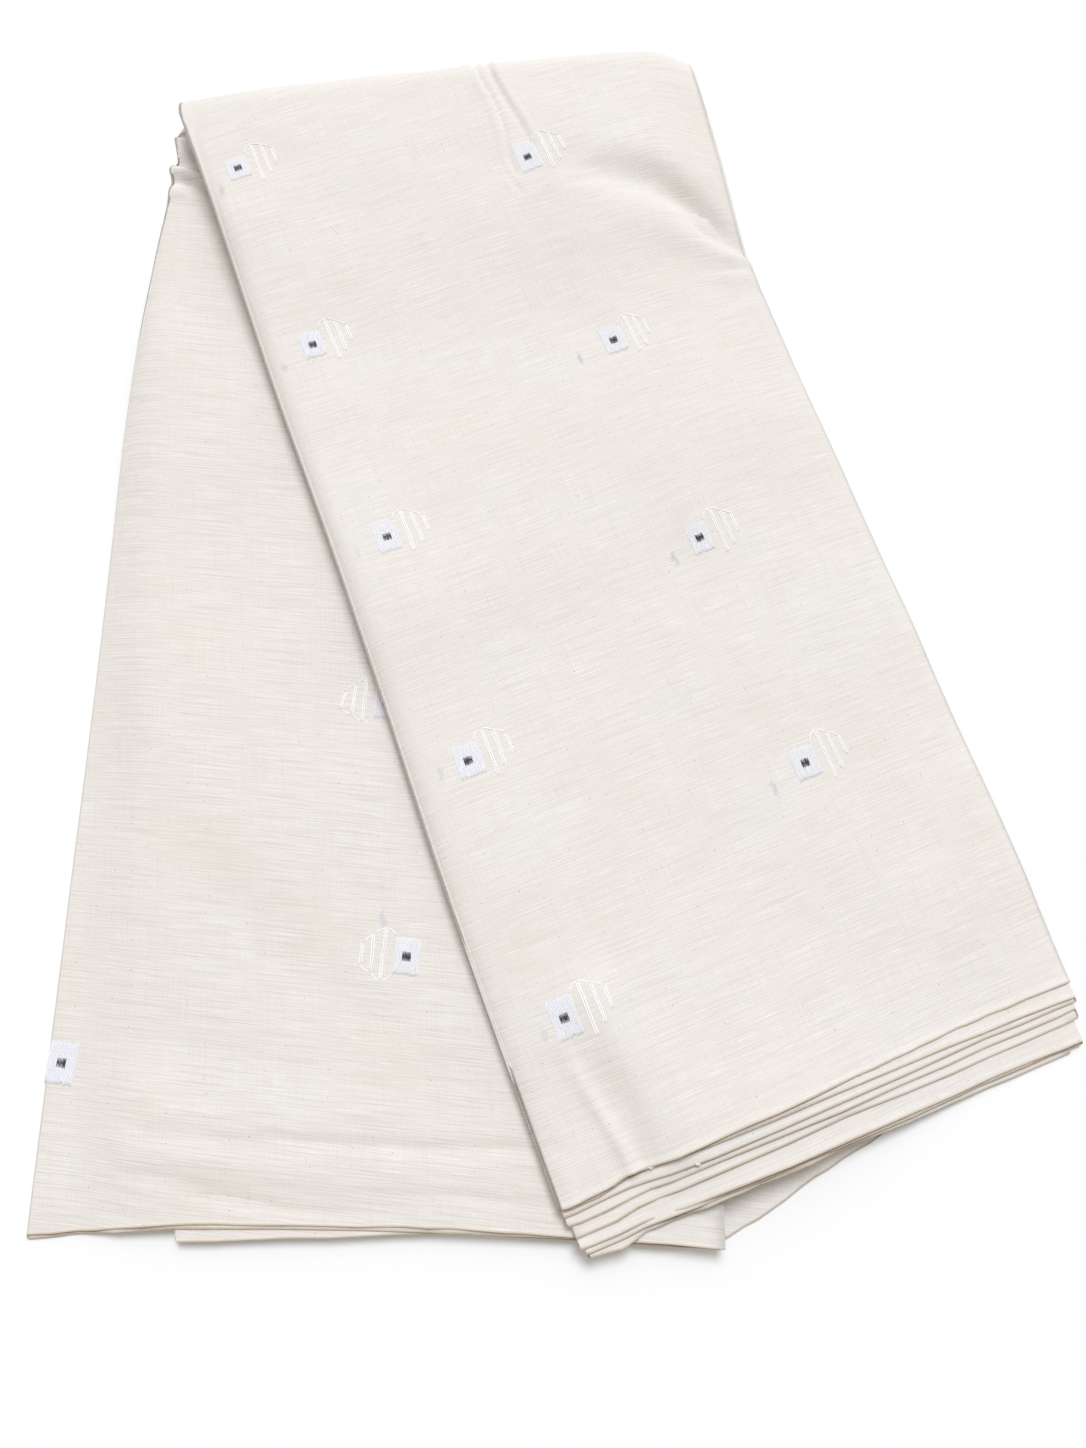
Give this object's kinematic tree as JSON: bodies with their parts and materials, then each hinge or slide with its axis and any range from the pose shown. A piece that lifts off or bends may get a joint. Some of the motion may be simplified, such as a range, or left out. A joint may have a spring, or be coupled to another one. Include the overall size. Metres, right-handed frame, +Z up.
{
  "type": "folded jamdani fabric",
  "caption": "Length of cream handloom cotton with white woven-in motifs, folded into a flat strip and doubled over, so that it lies flat as two crossing legs.",
  "frame": {"origin": "middle of the outline, on the surface that the cloth lies on", "axes": "+Z up off the surface, +Y towards the top fold where the strip is doubled over, +X to the right as seen from above with the selvedges at the bottom"},
  "size_m": [0.4413, 0.5991, 0.0372],
  "materials": {
    "cotton": "matt unbleached handloom cotton"
  },
  "bodies": {
    "root": {"jamdani_cloth": "cotton"}
  },
  "joints": []
}
